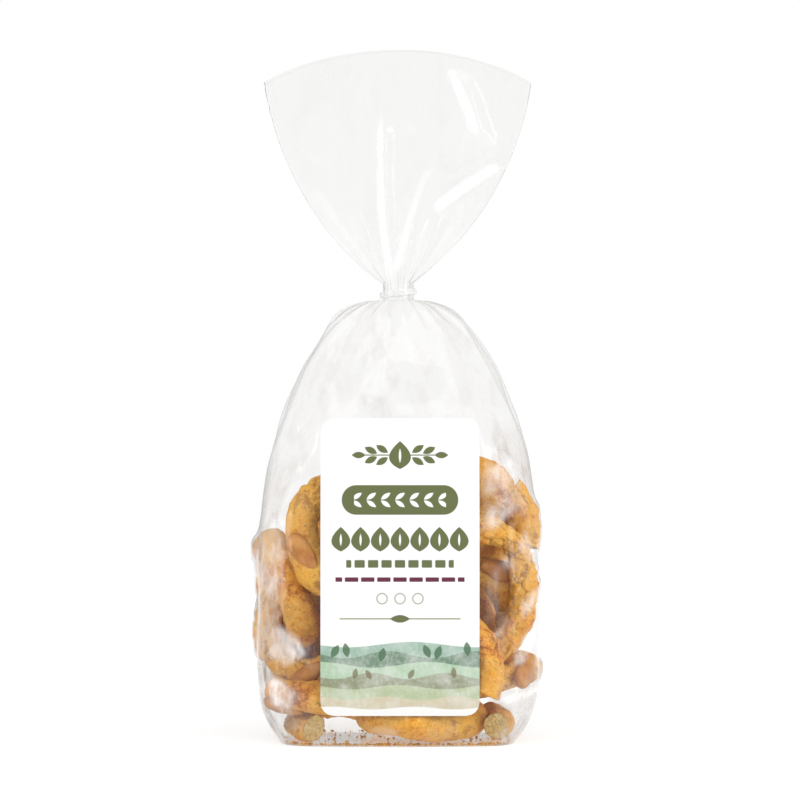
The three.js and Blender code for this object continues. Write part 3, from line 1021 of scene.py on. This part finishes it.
# each wave: its height at the middle, how much it sways, how quickly, from where, and its colour
waves = [
    (32, 1.2, 0.11, 1.0, colour(136, 166, 148)),
    (27.5, 1.6, 0.16, 2.4, colour(92, 122, 98)),
    (23, 1.3, 0.13, 0.0, colour(156, 182, 152)),
    (18, 1.4, 0.19, 4.0, colour(128, 134, 104)),
    (13, 1.0, 0.15, 1.7, colour(166, 178, 142)),
    (8, 0.8, 0.2, 3.0, colour(190, 180, 152)),
    (3.6, 0.6, 0.17, 0.5, paper),
]
# leaves that grow from the waves and in half of the sprig: across, height, and the way they point
upperTufts = [(-29, 29, 60), (-24, 29.5, 100), (-8, 27.5, 75), (12, 29, 115), (17, 28.5, 70), (30, 30, 95)]
lowerTufts = [(-20, 19, 80), (-14, 18.6, 120), (5, 18.8, 60), (24, 19.5, 95)]
sprigLeaves = [(8, 119.2, 32), (8, 113.8, -32), (13, 118.6, 26), (13, 114.4, -26), (18.5, 116.5, 0)]
# the heights of the other marks, from the top, and how far from the middle their rows end
markHeights = {
    "sprig": 116.5,
    "plaque": 96.5,
    "almonds": 79,
    "dashes": 68,
    "thinDashes": 61,
    "rings": 52.5,
    "rule": 43.5,
}
markEnds = {"chain": 20.5, "almonds": 30.8, "dashes": 24, "thinDashes": 28.8, "rings": 12}


# A shape's ink, from its distance inside its edge in millimetres
def ink(depth):
    return depth.ramp(-0.08, 0.08)


def barInk(x, z, middleZ, halfWidth, halfHeight, corner, middleX=0):
    across = (abs(x - middleX) - (halfWidth - corner)).most(0)
    up = (abs(z - middleZ) - (halfHeight - corner)).most(0)
    return ink(corner - (across**2 + up**2) ** 0.5)


# A leaf, or an almond where one end is blunter
def leafInk(x, z, middleX, middleZ, degrees, length, width, blunt=0.0):
    cosine, sine = math.cos(math.radians(degrees)), math.sin(math.radians(degrees))
    along = ((x - middleX) * cosine + (z - middleZ) * sine) / (length / 2)
    aside = ((z - middleZ) * cosine - (x - middleX) * sine) / (width / 2)
    return ink((1 - along**2 - abs(aside) * (1 + blunt * along)) * (width / 2))


# Places across that start again at each mark of a row, so that one mark's ink is drawn many times
def repeated(x, half):
    return x.maths("WRAP", x, -half, half)


def labelMaterial():
    tree = Tree("printedLabel")
    left, foot = label["middle"][0], label["middle"][1] - label["half"][1]
    x = tree.add("ShaderNodeSeparateXYZ", sockets={0: tree.place()}, output="X") / mm - left
    z = tree.add("ShaderNodeSeparateXYZ", sockets={0: tree.place()}, output="Z") / mm - foot
    beside = abs(x)

    # waves, each with its own wash, and leaves growing from two of them
    wash = tree.noise(9, detail=4).ramp(0.3, 0.75)
    speckle = tree.noise(1.6, detail=3, seed=0.3).ramp(0.45, 0.7)
    shown = paper
    for height, sway, quickness, start, shade in waves:
        line = height + sway * x.maths("SINE", x * quickness + start)
        tinted = tree.blend(wash * 0.35 + speckle * 0.15, shade, paper)
        shown = tree.blend(ink(line - z), shown, tinted)
    for place in upperTufts:
        shown = tree.blend(leafInk(x, z, *place, 6.5, 3.2) * 0.9, shown, tuftGreen)
    for place in lowerTufts:
        shown = tree.blend(leafInk(x, z, *place, 5, 2.4) * 0.8, shown, tuftBrown)

    # the sprig: an almond between leaves, the same on both sides, and the almond's pale middle
    middle = markHeights["sprig"]
    sprig = leafInk(x, z, 0, middle, 90, 12.5, 9.5, 0.3)
    for place in sprigLeaves:
        sprig = sprig.most(leafInk(beside, z, *place, 6.2, 2.9))
    sprig = sprig.most(barInk(beside, z, middle, 7, 0.25, 0.2, 10))
    shown = tree.blend(sprig, shown, olive)
    shown = tree.blend(leafInk(x, z, 0, middle - 0.3, 90, 6.5, 1.1), shown, paper)

    # the plaque and its chain of leaves
    middle = markHeights["plaque"]
    shown = tree.blend(barInk(x, z, middle, 26, 6.6, 6.5), shown, olive)
    step = repeated(x, 3.2)
    chain = leafInk(step, z, 0, middle + 1.7, 35, 5.2, 2)
    chain = chain.most(leafInk(step, z, 0, middle - 1.7, -35, 5.2, 2))
    shown = tree.blend(chain * ink(markEnds["chain"] - beside), shown, paper)

    # a row of almonds, then dashes
    middle, within = markHeights["almonds"], ink(markEnds["almonds"] - beside)
    step = repeated(x, 4.4)
    shown = tree.blend(leafInk(step, z, 0, middle, 90, 11, 8.2, 0.3) * within, shown, olive)
    shown = tree.blend(leafInk(step, z, 0, middle - 0.3, 90, 5.6, 1) * within, shown, paper)
    dashes = barInk(repeated(x, 3), z, markHeights["dashes"], 2.3, 1.7, 0.5)
    shown = tree.blend(dashes * ink(markEnds["dashes"] - beside), shown, olive)
    thin = barInk(repeated(x, 3.6), z, markHeights["thinDashes"], 3, 1, 0.4)
    shown = tree.blend(thin * ink(markEnds["thinDashes"] - beside), shown, burgundy)

    # three rings, and a rule with a leaf on its middle
    hoop = (repeated(x, 4) ** 2 + (z - markHeights["rings"]) ** 2) ** 0.5
    rings = ink(0.3 - abs(hoop - 2.3)) * ink(markEnds["rings"] - beside)
    shown = tree.blend(rings, shown, greyGreen)
    shown = tree.blend(barInk(x, z, markHeights["rule"], 27, 0.3, 0.2), shown, paleOlive)
    shown = tree.blend(leafInk(x, z, 0, markHeights["rule"], 0, 9, 3.4), shown, olive)

    # the back of the paper stays bare
    normal = tree.add("ShaderNodeTexCoord", output="Normal")
    turned = tree.add("ShaderNodeSeparateXYZ", sockets={0: normal}, output="Y").ramp(-0.3, 0)
    shown = tree.blend(turned, shown, paper)
    sockets = {"Base Color": shown, "Roughness": 0.42, "Specular IOR Level": 0.4, "Coat Weight": 0.15}
    return tree.painted(sockets)


# The tie: a clear band drawn tight
def tieMaterial():
    tree = Tree("clearBand")
    wrinkles = tree.noise(1.4, detail=2, stretch=(1, 1, 0.2))
    band = tree.principled({
        "Base Color": (0.86, 0.87, 0.87, 1),
        "Roughness": 0.15,
        "Coat Weight": 0.6,
        "Normal": tree.bump(wrinkles, 0.5, 0.4),
    })
    clear = tree.add("ShaderNodeBsdfTransparent", sockets={"Color": (0.97, 0.97, 0.97, 1)})
    return tree.finish(tree.add("ShaderNodeMixShader", sockets={0: 0.35, 1: clear, 2: band}))


for node, material in (("label", labelMaterial()), ("tie", tieMaterial())):
    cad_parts[node].data.materials.clear()
    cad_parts[node].data.materials.append(material)
print("label and tie dressed")


# Crumbs on the bag's floor, most of them along its front edge: how many, their half widths, and how toasted
crumbs = {"count": 760, "small": 0.25, "large": 1.1, "frontShare": 0.65, "toast": (0.1, 0.6)}


# The corners and faces of a twenty-sided lump, from which each crumb is knocked out of shape
def crumbShape():
    golden = (1 + math.sqrt(5)) / 2
    corners = np.array(
        [(0, a, b * golden) for a in (-1, 1) for b in (-1, 1)]
        + [(a, b * golden, 0) for a in (-1, 1) for b in (-1, 1)]
        + [(b * golden, 0, a) for a in (-1, 1) for b in (-1, 1)]
    ) / math.hypot(1, golden)
    near = np.linalg.norm(corners[:, None] - corners[None], axis=2) < 1.1
    shell = []
    for i, j, k in np.ndindex(12, 12, 12):
        if i < j < k and near[i, j] and near[j, k] and near[i, k]:
            turned = np.dot(np.cross(corners[j] - corners[i], corners[k] - corners[i]), corners[i]) > 0
            shell.append([i, j, k] if turned else [i, k, j])
    return corners, shell


def buildCrumbs():
    rng = np.random.default_rng(77)
    corners, shell = crumbShape()
    points, faces = [], []
    halfX, halfY = bag["footHalf"]
    for _ in range(crumbs["count"]):
        x = rng.uniform(-0.97, 0.97)
        edge = (1 - abs(x) ** bag["boxy"]) ** (1 / bag["boxy"]) - 0.03
        y = -edge * rng.uniform(0.9, 1) if rng.random() < crumbs["frontShare"] else rng.uniform(-edge, edge)
        size = crumbs["small"] + (crumbs["large"] - crumbs["small"]) * rng.random() ** 3
        scales = size * rng.uniform(0.7, 1.1, (12, 1)) * rng.uniform(0.6, 1, 3)
        middle = (x * halfX, y * halfY, 0.45 + 0.6 * size)
        faces += [[len(points) + corner for corner in face] for face in shell]
        points += list(corners * scales + middle)
    toast = np.repeat(rng.uniform(*crumbs["toast"], crumbs["count"]), len(corners))
    values = {"toast": toast, "crumb": 0 * toast}
    piece = makePiece("crumbs", points, faces, [biscuitMaterials[0]], None, values)


buildCrumbs()
print("crumbs scattered")


# Camera: where it stands, and how many millimetres one of the picture's pixels covers at the bag's middle
camera = {"across": 0.9, "away": 1400, "height": 155.6, "scale": 0.4585, "sensor": 36, "pixels": 800}


def setCamera():
    data = bpy.data.cameras.new("camera")
    data.sensor_width = camera["sensor"]
    data.lens = camera["sensor"] * camera["away"] / (camera["scale"] * camera["pixels"])
    eye = bpy.data.objects.new("camera", data)
    eye.location = (camera["across"] * mm, -camera["away"] * mm, camera["height"] * mm)
    eye.rotation_euler = (math.radians(90), 0, 0)
    bpy.context.collection.objects.link(eye)
    bpy.context.scene.camera = eye


# Lights, in metres and watts. The film mirrors the strips and the top box, but neither of the fills
lights = {
    "fillLeft": dict(at=(-1.6, -0.5, 0.4), size=(1.1, 1.5), power=8, mirrored=False),
    "fillRight": dict(at=(1.6, -0.4, 0.35), size=(1.1, 1.5), power=17, mirrored=False),
    "softboxTop": dict(at=(0.1, -1.1, 1.4), size=(2.0, 1.3), power=13, mirrored=True),
    "stripLeft": dict(at=(-1.1, -0.95, 0.3), size=(0.2, 0.9), power=2.4, mirrored=True),
    "stripRight": dict(at=(1.05, -1.0, 0.3), size=(0.2, 0.9), power=2.4, mirrored=True),
}


lightsAimAt = (0, 0, 0.13)


def addLights():
    for name, box in lights.items():
        data = bpy.data.lights.new(name, "AREA")
        data.shape = "RECTANGLE"
        data.size, data.size_y = box["size"]
        data.energy = box["power"]
        lamp = bpy.data.objects.new(name, data)
        lamp.location = box["at"]
        lamp.visible_glossy = box["mirrored"]
        ahead = Vector(lightsAimAt) - Vector(box["at"])
        lamp.rotation_euler = ahead.to_track_quat("-Z", "Y").to_euler()
        bpy.context.collection.objects.link(lamp)


# White to the eye, a duller white as light, and darker still in reflections
surroundings = {"light": 0.62, "reflected": 0.45, "seen": 1.0}


def setWorld():
    tree = Tree("studio", "worlds")
    glossy = tree.add("ShaderNodeLightPath", output="Is Glossy Ray")
    seen = tree.add("ShaderNodeLightPath", output="Is Camera Ray")
    unseen = {0: glossy, 2: surroundings["light"], 3: surroundings["reflected"]}
    strength = {0: seen, 2: tree.add("ShaderNodeMix", sockets=unseen), 3: surroundings["seen"]}
    sockets = {"Color": (1, 1, 1, 1), "Strength": tree.add("ShaderNodeMix", sockets=strength)}
    sky = tree.add("ShaderNodeBackground", sockets=sockets)
    tree.add("ShaderNodeOutputWorld", sockets={"Surface": sky})
    bpy.context.scene.world = tree.owner


# A pale disc that glows a little, more of it away from the bag, so that it stays white under the lights
floor = {
    "radius": 3,
    "sides": 96,
    "shade": (0.4, 0.4, 0.4, 1),
    "nearGlow": (0.64, 0.64, 0.64, 1),
    "farGlow": (0.72, 0.72, 0.72, 1),
    "between": (0.08, 0.6),
}


def addFloor():
    tree = Tree("paleFloor")
    away = tree.add("ShaderNodeVectorMath", {"operation": "LENGTH"}, {0: tree.place()}, "Value")
    glow = tree.blend(away.ramp(*floor["between"]), floor["nearGlow"], floor["farGlow"])
    material = tree.painted({
        "Base Color": floor["shade"],
        "Roughness": 0.8,
        "Emission Color": glow,
        "Emission Strength": 1.0,
    })
    around = np.linspace(0, 2 * math.pi, floor["sides"], endpoint=False)
    rim = [(floor["radius"] * math.cos(angle), floor["radius"] * math.sin(angle), 0) for angle in around]
    mesh = bpy.data.meshes.new("floor")
    mesh.from_pydata(rim, [], [list(range(floor["sides"]))])
    mesh.materials.append(material)
    disc = bpy.data.objects.new("floor", mesh)
    bpy.context.collection.objects.link(disc)


setCamera()
addLights()
setWorld()
addFloor()
bpy.context.scene.view_settings.view_transform = "Standard"
bpy.context.scene.cycles.transparent_max_bounces = 32
print("stage set")
